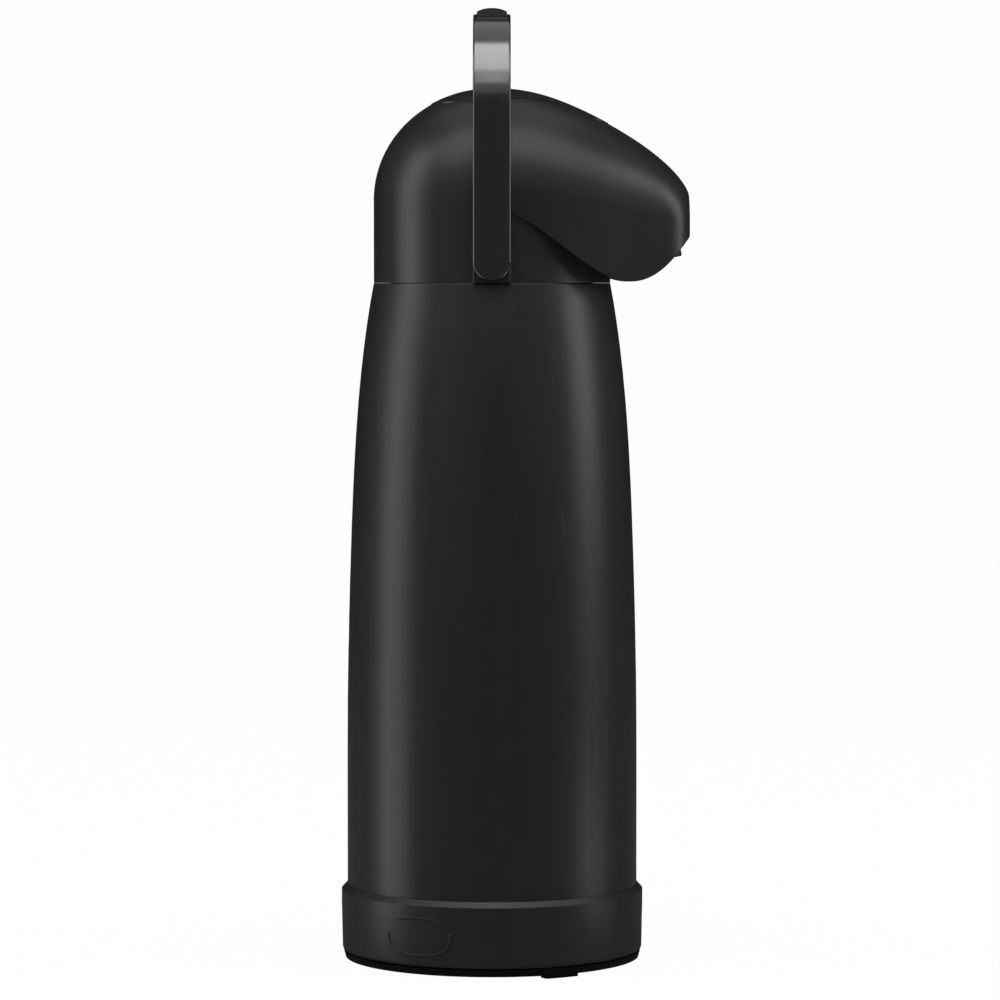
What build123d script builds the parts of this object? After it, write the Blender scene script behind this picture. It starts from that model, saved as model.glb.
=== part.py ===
# Airpot: a pump vacuum flask with a screwed-on pump head, a carrying bail and a swivelling foot.
# Millimetres. The origin is on the body's axis at the surface it stands on, +Z is up and the
# spout points along +X.

from build123d import *
import math
import os

# Foot and swivel
pad_h = 2.0
pad_arc_deg = 15.0
pad_w = 5.0
pad_inset = 3.7
pad_count = 3
pad_middle_r = 13.0
disc_inset = 0.5
disc_draft = 0.8
disc_h = 3.0
disc_gap = 0.4
seat_gap = 0.1
press_gap = 0.02
tube_gap = 0.03
screw_head_r = 9.0
screw_head_h = 1.2
screw_shank_r = 5.0
screw_thread_r = 3.9
screw_socket_r = 4.0
screw_recess_gap = 0.3
screw_recess_h = 1.8
screw_thread_spare = 1.0
running_clearance = 0.05
recess_clearance = 0.4
glide_w = 5.0
glide_inset = 10.5
washer_r = 14.0

# Base cup
cup_step = 2.6
cup_draft = 0.4
cup_foot_edge = 1.5
cup_foot_rim = 2.6
cup_foot_rim_base = 4.0
cup_side_blend = 6.0
cup_chamfer_run = 2.1
cup_ledge_w = 1.0
cup_h = 28.8
cup_chamfer = 2.3
cup_floor_lift = 1.6
cup_floor = 3.0
cup_ledge_h = 16.8
cup_boss_r = 9.0
cup_boss_h = 9.0
cup_rib_h = 2.0
cup_rib_w = 2.0
cup_rib_end_gap = 17.5
cup_ribs = 6
cup_rib_bite = 0.5

# Body shell
body_r = 63.8
body_straight_z = 89.2
body_waist_in = 1.8
body_waist_z = 185.7
body_shoulder_in = 5.1
body_shoulder_z = 247.2
body_collar_in = 9.1
body_collar_z = 282.2
body_top_in = 11.9
body_top_z = 298.7
body_wall = 2.3
body_collar_wall = 2.5
body_top_wall = 2.7
body_edge = 0.6
fit_gap = 0.2

# Neck of the body, its thread and its mouth ring
thread_neck_step = 7.4
thread_neck_wall = 2.5
thread_neck_h = 14.5
thread_depth = 1.2
thread_root_sink = 0.2
thread_root_half = 1.1
thread_crest_half = 0.35
thread_start_h = 3.0
thread_pitch = 4.5
thread_turns = 1.75
mouth_ledge_w = 6.0
mouth_ledge_z = 300.2
mouth_ledge_t = 3.0
mouth_ring_top_z = 307.2
mouth_ring_lip = 1.5
mouth_nub_inset = 4.0
mouth_nub_l = 4.0
mouth_nub_w = 3.0
mouth_nub_h = 2.5
mouth_nubs = 3
neck_gasket_t = 2.5
neck_gasket_skirt = 6.0
neck_gasket_wall = 1.0
neck_gasket_lip = 0.6

# Glass refill
glass_air_gap = 5.5
glass_wall = 1.8
glass_jacket = 3.0
glass_low_z = 30.2
glass_dome_h = 32.0
glass_knuckle_r = 20.0
glass_shoulder_z = 227.2
glass_neck_z = 289.2
glass_neck_in = 30.0
glass_mouth_in = 8.0
glass_rim_z = 302.2
glass_rim_t = 3.0
glass_rim_edge = 0.9
glass_tip_r = 3.0
glass_tip_h = 6.0
spacer_r = 5.0
spacer_z = 152.2
spacer_count = 3
spacer_turn = 30.0
cushion_inset = 12.0
cushion_hole_r = 13.0
cushion_rim_z = 42.2

# Head shell
seam_gap = 0.05
head_wall = 2.5
dome_spring_h = 36.4
dome_h = 48.5
bill_length = 86.2
nose_fillet = 3.0
# Each station of the bill: distance from the axis, how far its flank lies inside the neck's
# radius, and the heights above the seam of its underside, of the springing of its arched back,
# and of the top of the back.
bill_stations = [
    (14.0, 0.6, 27.0, 36.4, 83.9),
    (28.0, 3.0, 17.6, 35.4, 80.2),
    (44.0, 8.1, 6.2, 33.4, 73.3),
    (58.0, 14.7, 0.7, 30.9, 65.6),
    (72.0, 21.3, 4.6, 28.4, 55.9),
]
bill_root_low = 30.5
nose_in = 35.5
nose_low = 20.0
nose_spring = 26.0
nose_top = 39.2

# Ears and bail
ear_half_w = 8.1
ear_step = 3.1
ear_h = 17.0
ear_bite = 10.4
ear_edge = 0.8
pivot_h = 9.1
pivot_r = 3.5
pivot_bore_clearance = 0.05
pivot_depth = 2.0
pivot_end_gap = 0.3
pivot_bore_spare = 5.0
bail_w = 16.2
bail_t = 3.5
bail_clearance = 0.3
bail_reach = 107.3
bail_corner_r = 41.0
bail_edge = 0.9
bail_end_flat = 0.05
grip_w = 13.0
grip_half_l = 31.0
grip_t = 3.0
grip_edge_t = 0.8
grip_gap = 0.05
grip_arc_rise = 1.0

# Pump key
key_rear_x = -2.4
key_rear_r = 24.4
key_front_x = 38.0
key_front_r = 13.0
key_gap = 0.55
key_proud = 0.3
key_wall = 2.4
key_skirt_z = 364.7
key_pin_x = 44.0
key_pin_z = 363.2
key_pin_r = 1.5
key_lug_t = 2.4
key_lug_half_w = 3.4
key_lug_h = 5.6
key_lug_y = 6.0
key_rib_w = 16.0
key_rib_r = 3.0
key_rib_drop = 5.0
key_rib_bite = 0.4
key_lug_gap_h = 10.4
key_hole_low_h = 8.0
key_crown_spare = 5.0
pin_lug_t = 2.6
pin_lug_gap = 0.7
pin_lug_half_w = 4.0
key_press_deg = 15.0

# Pump
plate_r = 25.0
plate_t = 3.0
plate_boss_r = 8.0
plate_boss_h = 2.6
plate_contact_gap = 0.4
bellows_r = 27.0
bellows_fold = 5.0
bellows_wall = 2.0
bellows_folds = 4
bellows_flange_t = 1.0
bellows_flange_r = 15.0
plate_edge = 0.6
spring_r = 8.5
spring_wire_r = 0.7
spring_turns = 5
frame_z = 318.2
frame_h = 13.0
frame_deck = 2.5
frame_r = 30.5
frame_wall = 2.5
frame_slot_spare = 1.0
duct_x = -13.2
duct_r = 3.6
duct_bore_r = 1.8
flap_t = 0.8
flap_r = 6.0
vent_count = 4
vent_r = 1.2
vent_ring_r = 3.6

# Head base and stopper
base_skirt_clearance = 0.4
base_plate_t = 3.0
base_skirt_lift = 0.4
base_skirt_gap = 0.3
stopper_gap = 1.5
stopper_low_z = 287.2
stopper_lead_r = 1.0
stopper_lead_h = 2.0
stopper_flange_r = 31.0
stopper_gasket_t = 2.0
stopper_gasket_r = 21.0
stopper_gasket_outer_r = 30.0
ball_r = 5.0
ball_chamber_r = 6.0
ball_chamber_low_z = 295.2
ball_chamber_top_z = 309.2
siphon_r = 4.0
siphon_bore_r = 2.75
siphon_low_z = 42.2
siphon_notch = 4.0
siphon_notch_w = 3.0
siphon_seat = 6.0
socket_r = 10.0
boss_inset = 6.9
head_screw_inset = 8.8
boss_r = 4.2
boss_h = 14.0
boss_angles = (60.0, 120.0, 240.0, 300.0)
head_screw_r = 1.5
head_screw_head_r = 2.9
head_screw_head_h = 1.7
head_screw_length = 12.0
boss_roof = 2.0

# Outlet
hose_r = 4.2
hose_bore_r = 2.8
hose_rise = 5.8
hose_corner = 20.0
hose_bend_r = 6.0
hose_seat = 4.0
hose_stop = 10.0
nozzle_r = 6.2
nozzle_bore_r = 2.8
nozzle_x = 77.4
nozzle_tip_z = 309.4
nozzle_tilt_deg = 12.0
nozzle_length = 14.5
nozzle_mouth_r = 4.2
nozzle_mouth_h = 3.0
nozzle_edge = 0.8
nozzle_mouth_taper = 20.0
nozzle_hole_gap = 0.2
nozzle_hole_drop = 6.0

# Heights and radii worked out from the values above
cup_r = body_r + cup_step
cup_foot_r = cup_r - cup_draft
disc_r = cup_foot_r - disc_inset
disc_foot_r = disc_r - disc_draft
pad_outer_r = disc_foot_r - pad_inset
pad_inner_r = pad_outer_r - pad_w
glide_outer_r = disc_r - glide_inset
glide_inner_r = glide_outer_r - glide_w
disc_low_z = pad_h
disc_top_z = disc_low_z + disc_h
cup_low_z = disc_top_z + disc_gap
cup_top_z = cup_low_z + cup_h
cup_floor_z = cup_low_z + cup_floor_lift
cup_floor_top_z = cup_floor_z + cup_floor
cup_ledge_z = cup_low_z + cup_ledge_h
cup_inner_r = body_r + fit_gap
cup_rib_l = cup_inner_r - cup_boss_r - cup_rib_end_gap + cup_rib_bite
body_waist_r = body_r - body_waist_in
body_shoulder_r = body_r - body_shoulder_in
body_collar_r = body_r - body_collar_in
body_top_r = body_r - body_top_in
seam_z = body_top_z + seam_gap
thread_neck_top_z = body_top_z + thread_neck_h
thread_neck_r = body_top_r - thread_neck_step
thread_neck_inner_r = thread_neck_r - thread_neck_wall
mouth_ledge_r = thread_neck_inner_r - mouth_ledge_w
thread_outer_r = thread_neck_r + thread_depth
glass_r = body_r - body_wall - glass_air_gap
glass_neck_r = glass_r - glass_neck_in
glass_mouth_r = glass_neck_r - glass_mouth_in
neck_gasket_r = glass_mouth_r + neck_gasket_lip
mouth_ring_r = glass_mouth_r + mouth_ring_lip
cushion_r = glass_r - cushion_inset
stopper_r = glass_mouth_r - stopper_gap
glass_dome_z = glass_low_z + glass_dome_h
inner_glass_r = glass_r - glass_wall - glass_jacket
gasket_skirt_r = glass_neck_r + seat_gap
mouth_ring_bore_r = gasket_skirt_r + neck_gasket_wall + seat_gap
neck_r = body_top_r
ear_face_y = neck_r + ear_step
ear_root_y = neck_r - ear_bite
pivot_inner_y = neck_r - head_wall + pivot_end_gap
boss_ring_r = neck_r - boss_inset
head_screw_ring_r = neck_r - head_screw_inset
dome_spring_z = seam_z + dome_spring_h
dome_top_z = dome_spring_z + dome_h
pivot_z = seam_z + pivot_h
key_rib_low_z = key_pin_z - key_rib_drop
plate_top_z = key_rib_low_z - plate_contact_gap
plate_low_z = plate_top_z - plate_boss_h - plate_t
frame_top_z = frame_z + frame_h + frame_deck
base_skirt_inner_r = thread_outer_r + base_skirt_clearance
base_skirt_outer_r = neck_r - head_wall - base_skirt_gap
base_plate_z = frame_z - base_plate_t
stopper_gasket_z = mouth_ring_top_z + seat_gap
stopper_flange_z = stopper_gasket_z + stopper_gasket_t
bail_inner_y = ear_face_y + bail_clearance
bail_outer_y = bail_inner_y + bail_t
bail_top_z = pivot_z + bail_reach
nozzle_tilt = math.radians(nozzle_tilt_deg)

# How far the push plate goes down while the key turns through its range
rib_arm_x = key_pin_x
rib_arm_z = key_rib_low_z + key_rib_r - key_pin_z
press_angle = math.radians(key_press_deg)
rib_end_z = -rib_arm_x * math.sin(press_angle) + rib_arm_z * math.cos(press_angle)
plate_travel = rib_arm_z - rib_end_z
print("push plate travel", round(plate_travel, 3), "mm in", key_press_deg, "degrees")
print("metres per radian", round(plate_travel / press_angle / 1000, 6))
print("bail pivot height", round(pivot_z, 2), "mm, bail top", round(bail_top_z, 2), "mm")


# One cross-section of the bill: a flat underside, upright flanks and an arched back
def bill_section(x, half_w, low, spring, top):
    with BuildSketch(Plane.YZ.offset(x)) as section:
        with BuildLine():
            Line((-half_w, spring), (-half_w, low))
            Line((-half_w, low), (half_w, low))
            Line((half_w, low), (half_w, spring))
            EllipticalCenterArc((0, spring), half_w, top - spring, 0, arc_size=180)
        make_face()
    return section.sketch.faces()[0]


# The bill's outside, or its inside when inset by a wall
def bill_form(inset):
    root = (0, 0, bill_root_low, dome_spring_h, dome_spring_h + dome_h)
    nose = (bill_length - inset, nose_in, nose_low, nose_spring, nose_top)
    sections = []
    for x, flank_in, low, spring, top in [root, *bill_stations, nose]:
        half_w = neck_r - flank_in - inset
        sections.append(
            bill_section(x, half_w, seam_z + low + inset, seam_z + spring, seam_z + top - inset)
        )
    with BuildPart() as bill:
        loft(sections=sections)
        fillet(bill.faces().sort_by(Axis.X)[-1].edges(), nose_fillet - inset)
    return bill.part


# The rear half of the dome, a quarter ellipse turned about the body's axis
def dome_form(inset):
    with BuildPart() as dome:
        with BuildSketch(Plane.XZ):
            with BuildLine():
                Line((0, dome_spring_z), (neck_r - inset, dome_spring_z))
                EllipticalCenterArc(
                    (0, dome_spring_z), neck_r - inset, dome_h - inset, 0, arc_size=90
                )
                Line((0, dome_top_z - inset), (0, dome_spring_z))
            make_face()
        revolve(axis=Axis.Z)
        split(bisect_by=Plane.YZ, keep=Keep.BOTTOM)
    return dome.part


# The head's outside, or its inside when inset by a wall
def head_form(inset, low_z):
    bill = bill_form(inset)
    dome = dome_form(inset)
    with BuildPart() as form:
        with BuildSketch(Plane.XY.offset(low_z)):
            Circle(neck_r - inset)
        extrude(amount=dome_spring_z - low_z)
        add(bill)
        add(dome)
    return form.part


# The plan outline of the pump key, grown or shrunk by a margin
def key_outline(margin):
    with BuildSketch() as outline:
        with Locations((key_rear_x, 0)):
            Circle(key_rear_r + margin)
        with Locations((key_front_x, 0)):
            Circle(key_front_r + margin)
        make_hull()
    return outline.sketch


head_outside = head_form(0, seam_z)
head_inside = head_form(head_wall, seam_z - head_wall)
head_mid_wall = head_form(head_wall / 2, seam_z)
key_inside = head_form(key_wall, seam_z)
key_outside = head_form(-key_proud, seam_z)
key_plan = key_outline(0)
key_hole_plan = key_outline(key_gap)
key_hollow_plan = key_outline(-key_wall)

# Body shell: outer wall, deck and threaded neck in one moulding
with BuildPart() as body_shell:
    with BuildSketch(Plane.XZ) as shell_profile:
        with BuildLine():
            Line((body_r - body_wall, cup_ledge_z), (body_r, cup_ledge_z))
            Line((body_r, cup_ledge_z), (body_r, body_straight_z))
            Spline(
                (body_r, body_straight_z),
                (body_waist_r, body_waist_z),
                (body_shoulder_r, body_shoulder_z),
                (body_collar_r, body_collar_z),
                (body_top_r, body_top_z),
                tangents=((0, 1), (-0.2, 1)),
            )
            Polyline(
                (body_top_r, body_top_z),
                (thread_neck_r, body_top_z),
                (thread_neck_r, thread_neck_top_z),
                (thread_neck_inner_r, thread_neck_top_z),
                (thread_neck_inner_r, mouth_ledge_z),
                (mouth_ledge_r, mouth_ledge_z),
                (mouth_ledge_r, mouth_ledge_z - mouth_ledge_t),
                (thread_neck_inner_r, body_top_z - body_wall),
                (body_top_r - body_top_wall, body_top_z - body_wall),
            )
            Spline(
                (body_top_r - body_top_wall, body_top_z - body_wall),
                (body_collar_r - body_collar_wall, body_collar_z),
                (body_shoulder_r - body_wall, body_shoulder_z),
                (body_waist_r - body_wall, body_waist_z),
                (body_r - body_wall, body_straight_z),
                tangents=((0.2, -1), (0, -1)),
            )
            Line((body_r - body_wall, body_straight_z), (body_r - body_wall, cup_ledge_z))
        make_face()
    revolve(axis=Axis.Z)
    top_edges = body_shell.edges().filter_by(GeomType.CIRCLE)
    top_edges = top_edges.filter_by(lambda e: abs(e.radius - body_top_r) < 0.01)
    fillet(top_edges, body_edge)
    thread_path = Helix(
        thread_pitch,
        thread_pitch * thread_turns,
        thread_neck_r - thread_root_sink,
        center=(0, 0, body_top_z + thread_start_h),
        mode=Mode.PRIVATE,
    )
    with BuildSketch(Plane(thread_path @ 0, z_dir=thread_path % 0, x_dir=(1, 0, 0))) as ridge:
        with BuildLine():
            Polyline(
                (0, -thread_root_half),
                (thread_depth + thread_root_sink, -thread_crest_half),
                (thread_depth + thread_root_sink, thread_crest_half),
                (0, thread_root_half),
                close=True,
            )
        make_face()
    sweep(path=thread_path, is_frenet=True)
body_shell.part.label = "body_shell"

# Base cup: the wider ring round the foot, with the floor that carries the refill
with BuildPart() as base_cup:
    with BuildSketch(Plane.XZ) as cup_profile:
        with BuildLine():
            Polyline(
                (screw_thread_r + running_clearance, cup_floor_z),
                (cup_foot_r - cup_foot_rim_base, cup_floor_z),
                (cup_foot_r - cup_foot_rim, cup_low_z),
                (cup_foot_r - cup_foot_edge, cup_low_z),
            )
            RadiusArc(
                (cup_foot_r - cup_foot_edge, cup_low_z),
                (cup_foot_r, cup_low_z + cup_foot_edge),
                -cup_foot_edge,
            )
            Polyline(
                (cup_foot_r, cup_low_z + cup_foot_edge),
                (cup_r, cup_top_z - cup_chamfer - cup_side_blend),
                (cup_r, cup_top_z - cup_chamfer),
                (cup_r - cup_chamfer_run, cup_top_z),
                (cup_inner_r, cup_top_z),
                (cup_inner_r, cup_ledge_z),
                (cup_inner_r - body_wall - cup_ledge_w, cup_ledge_z),
                (cup_inner_r - body_wall - cup_ledge_w, cup_floor_top_z),
                (cup_boss_r, cup_floor_top_z),
                (cup_boss_r, cup_floor_z + cup_boss_h),
                (screw_thread_r + running_clearance, cup_floor_z + cup_boss_h),
                (screw_thread_r + running_clearance, cup_floor_z),
            )
        make_face()
    revolve(axis=Axis.Z)
    with BuildSketch(Plane.XY.offset(cup_floor_top_z)):
        with PolarLocations(cup_boss_r + cup_rib_l / 2 - cup_rib_bite, cup_ribs):
            Rectangle(cup_rib_l, cup_rib_w)
    extrude(amount=cup_rib_h)
base_cup.part.label = "base_cup"

# Swivel disc and its pads
with BuildPart() as swivel_disc:
    with BuildSketch(Plane.XZ) as disc_profile:
        with BuildLine():
            Polyline(
                (screw_shank_r + running_clearance, disc_top_z),
                (disc_r, disc_top_z),
                (disc_foot_r, disc_low_z),
                (screw_head_r + recess_clearance, disc_low_z),
                (screw_head_r + recess_clearance, disc_low_z + screw_recess_h),
                (screw_shank_r + running_clearance, disc_low_z + screw_recess_h),
                close=True,
            )
        make_face()
    revolve(axis=Axis.Z)
swivel_disc.part.label = "swivel_disc"

with BuildPart() as foot_pads:
    for k in range(pad_count):
        middle = 180.0 + k * 360.0 / pad_count
        with BuildSketch(Plane.XY) as pad:
            with PolarLocations((pad_inner_r + pad_outer_r) / 2, 1, middle):
                Rectangle(pad_outer_r - pad_inner_r, math.radians(pad_arc_deg) * pad_outer_r)
            Circle(pad_outer_r, mode=Mode.INTERSECT)
            Circle(pad_inner_r, mode=Mode.SUBTRACT)
        extrude(amount=pad_h)
    with BuildSketch(Plane.XY):
        Circle(pad_middle_r)
    extrude(amount=pad_h)
foot_pads.part.label = "foot_pads"

with BuildPart() as swivel_screw:
    with BuildSketch(Plane.XY.offset(disc_low_z + screw_recess_gap)):
        Circle(screw_head_r)
        RegularPolygon(screw_socket_r, 6, mode=Mode.SUBTRACT)
    extrude(amount=screw_head_h)
    with BuildSketch(Plane.XY.offset(disc_low_z + screw_head_h)):
        Circle(screw_shank_r)
    extrude(amount=cup_floor_z - disc_low_z - screw_head_h)
    with BuildSketch(Plane.XY.offset(cup_floor_z)):
        Circle(screw_thread_r)
    extrude(amount=cup_boss_h - screw_thread_spare)
swivel_screw.part.label = "swivel_screw"

with BuildPart() as swivel_washer:
    with BuildSketch(Plane.XY.offset(disc_top_z + seat_gap)):
        Circle(washer_r)
        Circle(screw_shank_r + running_clearance, mode=Mode.SUBTRACT)
    extrude(amount=cup_floor_z - disc_top_z - seat_gap)
swivel_washer.part.label = "swivel_washer"

with BuildPart() as swivel_glide:
    with BuildSketch(Plane.XY.offset(disc_top_z + seat_gap)):
        Circle(glide_outer_r)
        Circle(glide_inner_r, mode=Mode.SUBTRACT)
    extrude(amount=cup_floor_z - disc_top_z - seat_gap)
swivel_glide.part.label = "swivel_glide"

# Glass refill, drawn as its outer and inner walls so that the jacket between them stays empty.
# Its bottom is a shallow crown arc that runs into a knuckle arc.
def glass_bottom(inset, start_r=0):
    r = glass_r - inset
    knuckle = glass_knuckle_r - inset
    h = glass_dome_h - inset
    low = glass_low_z + inset
    crown = ((r - knuckle) ** 2 + h**2 - knuckle**2) / (2 * (h - knuckle))
    meet = math.atan2(r - knuckle, crown - h)
    half_knuckle = (meet + math.pi / 2) / 2
    start = math.asin(start_r / crown)
    middle = (start + meet) / 2
    crown_start = (start_r, low + crown - crown * math.cos(start))
    crown_mid = (crown * math.sin(middle), low + crown - crown * math.cos(middle))
    crown_end = (crown * math.sin(meet), low + crown - crown * math.cos(meet))
    knuckle_mid = (
        r - knuckle + knuckle * math.sin(half_knuckle),
        glass_dome_z - knuckle * math.cos(half_knuckle),
    )
    ThreePointArc(crown_start, crown_mid, crown_end)
    ThreePointArc(crown_end, knuckle_mid, (r, glass_dome_z))
    return crown_start


# One glass wall: bottom arcs, straight side and S-curved shoulder, from outside to inside
def glass_profile(inset, shoulder_z, neck_outer_r, neck_z, tip_r, tip_h):
    starts = []
    for skin in (0, glass_wall):
        side_r = glass_r - inset - skin
        starts.append(glass_bottom(inset + skin, tip_r if skin == 0 else 0))
        Line((side_r, glass_dome_z), (side_r, shoulder_z))
        Spline(
            (side_r, shoulder_z),
            (neck_outer_r - skin, neck_z),
            tangents=((0, 1), (0, 1)),
        )
    if tip_r:
        tip_z = glass_low_z + inset - tip_h
        Polyline(starts[0], (tip_r / 3, tip_z), (0, tip_z), starts[1])
    else:
        Line(starts[0], starts[1])


with BuildPart() as flask_outer_wall:
    with BuildSketch(Plane.XZ) as outer_glass_profile:
        with BuildLine():
            glass_profile(
                0, glass_shoulder_z, glass_neck_r, glass_neck_z, glass_tip_r, glass_tip_h
            )
            Polyline(
                (glass_neck_r, glass_neck_z),
                (glass_neck_r, glass_rim_z - glass_rim_t),
                (glass_neck_r - glass_wall, glass_rim_z - glass_rim_t),
                (glass_neck_r - glass_wall, glass_neck_z),
            )
        make_face()
    revolve(axis=Axis.Z)
flask_outer_wall.part.label = "flask_outer_wall"

with BuildPart() as flask_inner_wall:
    with BuildSketch(Plane.XZ) as inner_glass_profile:
        with BuildLine():
            glass_profile(
                glass_wall + glass_jacket,
                glass_shoulder_z - glass_jacket,
                glass_mouth_r + glass_wall,
                glass_neck_z - glass_jacket,
                0,
                0,
            )
            Polyline(
                (glass_mouth_r + glass_wall, glass_neck_z - glass_jacket),
                (glass_mouth_r + glass_wall, glass_rim_z - glass_rim_t),
                (glass_neck_r, glass_rim_z - glass_rim_t),
                (glass_neck_r, glass_rim_z),
                (glass_mouth_r, glass_rim_z),
                (glass_mouth_r, glass_neck_z - glass_jacket),
            )
        make_face()
    revolve(axis=Axis.Z)
    rim = flask_inner_wall.edges().filter_by(GeomType.CIRCLE)
    rim = rim.filter_by(lambda e: abs(e.center().Z - glass_rim_z) < 0.01)
    fillet(rim, glass_rim_edge)
flask_inner_wall.part.label = "flask_inner_wall"

with BuildPart() as flask_spacers:
    for k in range(spacer_count):
        turn = spacer_turn + k * 360.0 / spacer_count
        with BuildSketch(Plane.YZ.rotated((0, 0, turn))) as spacer:
            with Locations((0, spacer_z)):
                Circle(spacer_r)
        extrude(amount=glass_r)
    with BuildSketch(Plane.XY.offset(spacer_z - 2 * spacer_r)):
        Circle(glass_r - glass_wall - seat_gap)
        Circle(inner_glass_r + seat_gap, mode=Mode.SUBTRACT)
    extrude(amount=4 * spacer_r, mode=Mode.INTERSECT)
flask_spacers.part.label = "flask_spacers"

# Rubber cushion, dished to the refill's bottom
with BuildPart() as flask_cushion:
    with BuildSketch(Plane.XY.offset(cup_floor_top_z + cup_rib_h)):
        Circle(cushion_r)
        Circle(cushion_hole_r, mode=Mode.SUBTRACT)
    extrude(amount=cushion_rim_z - cup_floor_top_z - cup_rib_h)
    with BuildSketch(Plane.XZ) as dish_profile:
        with BuildLine():
            glass_bottom(-seat_gap)
            Polyline(
                (glass_r + seat_gap, glass_dome_z),
                (0, glass_dome_z),
                (0, glass_low_z - seat_gap),
            )
        make_face()
    revolve(axis=Axis.Z, mode=Mode.SUBTRACT)
flask_cushion.part.label = "flask_cushion"

# Mouth gasket round the refill's neck, and the ring that clamps it
with BuildPart() as neck_gasket:
    with BuildSketch(Plane.XZ) as gasket_profile:
        with BuildLine():
            Polyline(
                (neck_gasket_r, glass_rim_z),
                (gasket_skirt_r, glass_rim_z),
                (gasket_skirt_r, glass_rim_z - neck_gasket_skirt),
                (gasket_skirt_r + neck_gasket_wall, glass_rim_z - neck_gasket_skirt),
                (gasket_skirt_r + neck_gasket_wall, glass_rim_z + neck_gasket_t),
                (neck_gasket_r, glass_rim_z + neck_gasket_t),
                close=True,
            )
        make_face()
    revolve(axis=Axis.Z)
neck_gasket.part.label = "neck_gasket"

with BuildPart() as mouth_ring:
    with BuildSketch(Plane.XZ) as mouth_ring_profile:
        with BuildLine():
            Polyline(
                (mouth_ring_r, glass_rim_z + neck_gasket_t),
                (mouth_ring_bore_r, glass_rim_z + neck_gasket_t),
                (mouth_ring_bore_r, mouth_ledge_z - mouth_ledge_t),
                (mouth_ledge_r - seat_gap, mouth_ledge_z - mouth_ledge_t),
                (mouth_ledge_r - seat_gap, mouth_ledge_z),
                (thread_neck_inner_r - seat_gap, mouth_ledge_z),
                (thread_neck_inner_r - seat_gap, mouth_ring_top_z),
                (mouth_ring_r, mouth_ring_top_z),
                close=True,
            )
        make_face()
    revolve(axis=Axis.Z)
    with BuildSketch(Plane.XY.offset(mouth_ring_top_z)):
        with PolarLocations(thread_neck_inner_r - mouth_nub_inset, mouth_nubs):
            Rectangle(mouth_nub_l, mouth_nub_w)
    extrude(amount=mouth_nub_h)
mouth_ring.part.label = "mouth_ring"

# Lugs under the head's roof that hold the key's pin
with BuildPart() as pin_lugs:
    for side in (-1, 1):
        with BuildSketch(Plane.XZ.offset(-side * (key_front_r + pin_lug_gap))) as pin_lug:
            with Locations((key_pin_x, key_pin_z)):
                Circle(pin_lug_half_w)
            with Locations((key_pin_x, key_pin_z + pin_lug_half_w)):
                Rectangle(2 * pin_lug_half_w, 2 * pin_lug_half_w)
        extrude(amount=-side * pin_lug_t)
    add(head_mid_wall, mode=Mode.INTERSECT)

# Head shell: neck, dome and bill, with the ears that carry the bail
with BuildPart() as head_shell:
    add(head_outside)
    for side in (-1, 1):
        with BuildSketch(Plane.XZ.offset(-side * ear_face_y)) as ear:
            with BuildLine():
                Polyline(
                    (-ear_half_w, seam_z + ear_h - ear_half_w),
                    (-ear_half_w, seam_z),
                    (ear_half_w, seam_z),
                    (ear_half_w, seam_z + ear_h - ear_half_w),
                )
                ThreePointArc(
                    (ear_half_w, seam_z + ear_h - ear_half_w),
                    (0, seam_z + ear_h),
                    (-ear_half_w, seam_z + ear_h - ear_half_w),
                )
            make_face()
        extrude(amount=side * (ear_face_y - ear_root_y))
    ear_rims = head_shell.edges().filter_by(
        lambda e: abs(abs(e.center().Y) - ear_face_y) < 0.01 and e.center().Z > seam_z + ear_edge / 2
    )
    fillet(ear_rims, ear_edge)
    add(head_inside, mode=Mode.SUBTRACT)
    with BuildSketch(Plane.XY.offset(key_skirt_z - key_hole_low_h)):
        add(key_hole_plan)
    extrude(amount=dome_top_z, mode=Mode.SUBTRACT)
    for angle in boss_angles:
        with BuildSketch(Plane.XY.offset(frame_z + seat_gap)) as boss:
            with PolarLocations(boss_ring_r, 1, angle):
                Circle(boss_r)
            with PolarLocations(boss_ring_r + boss_r, 1, angle):
                Rectangle(boss_r, 2 * boss_r)
            Circle(neck_r - head_wall / 2, mode=Mode.INTERSECT)
        extrude(amount=boss_h)
        with BuildSketch(Plane.XY.offset(frame_z + seat_gap)):
            with PolarLocations(head_screw_ring_r, 1, angle):
                Circle(head_screw_r + press_gap)
        extrude(amount=boss_h - boss_roof, mode=Mode.SUBTRACT)
    add(pin_lugs.part)
    with BuildSketch(Plane.XZ) as pin_bore:
        with Locations((key_pin_x, key_pin_z)):
            Circle(key_pin_r + press_gap)
    extrude(amount=key_front_r + pin_lug_gap + pin_lug_t, both=True, mode=Mode.SUBTRACT)
    with BuildSketch(Plane.XZ) as pivot_bore:
        with Locations((0, pivot_z)):
            Circle(pivot_r + pivot_bore_clearance)
    extrude(amount=ear_face_y + pivot_bore_spare, both=True, mode=Mode.SUBTRACT)
    nozzle_axis = Plane(
        origin=(nozzle_x, 0, nozzle_tip_z),
        x_dir=(math.cos(nozzle_tilt), 0, math.sin(nozzle_tilt)),
        z_dir=(-math.sin(nozzle_tilt), 0, math.cos(nozzle_tilt)),
    )
    with BuildSketch(nozzle_axis.offset(-nozzle_hole_drop)):
        Circle(nozzle_r + nozzle_hole_gap)
    extrude(amount=nozzle_length, mode=Mode.SUBTRACT)
head_shell.part.label = "head_shell"

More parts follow.
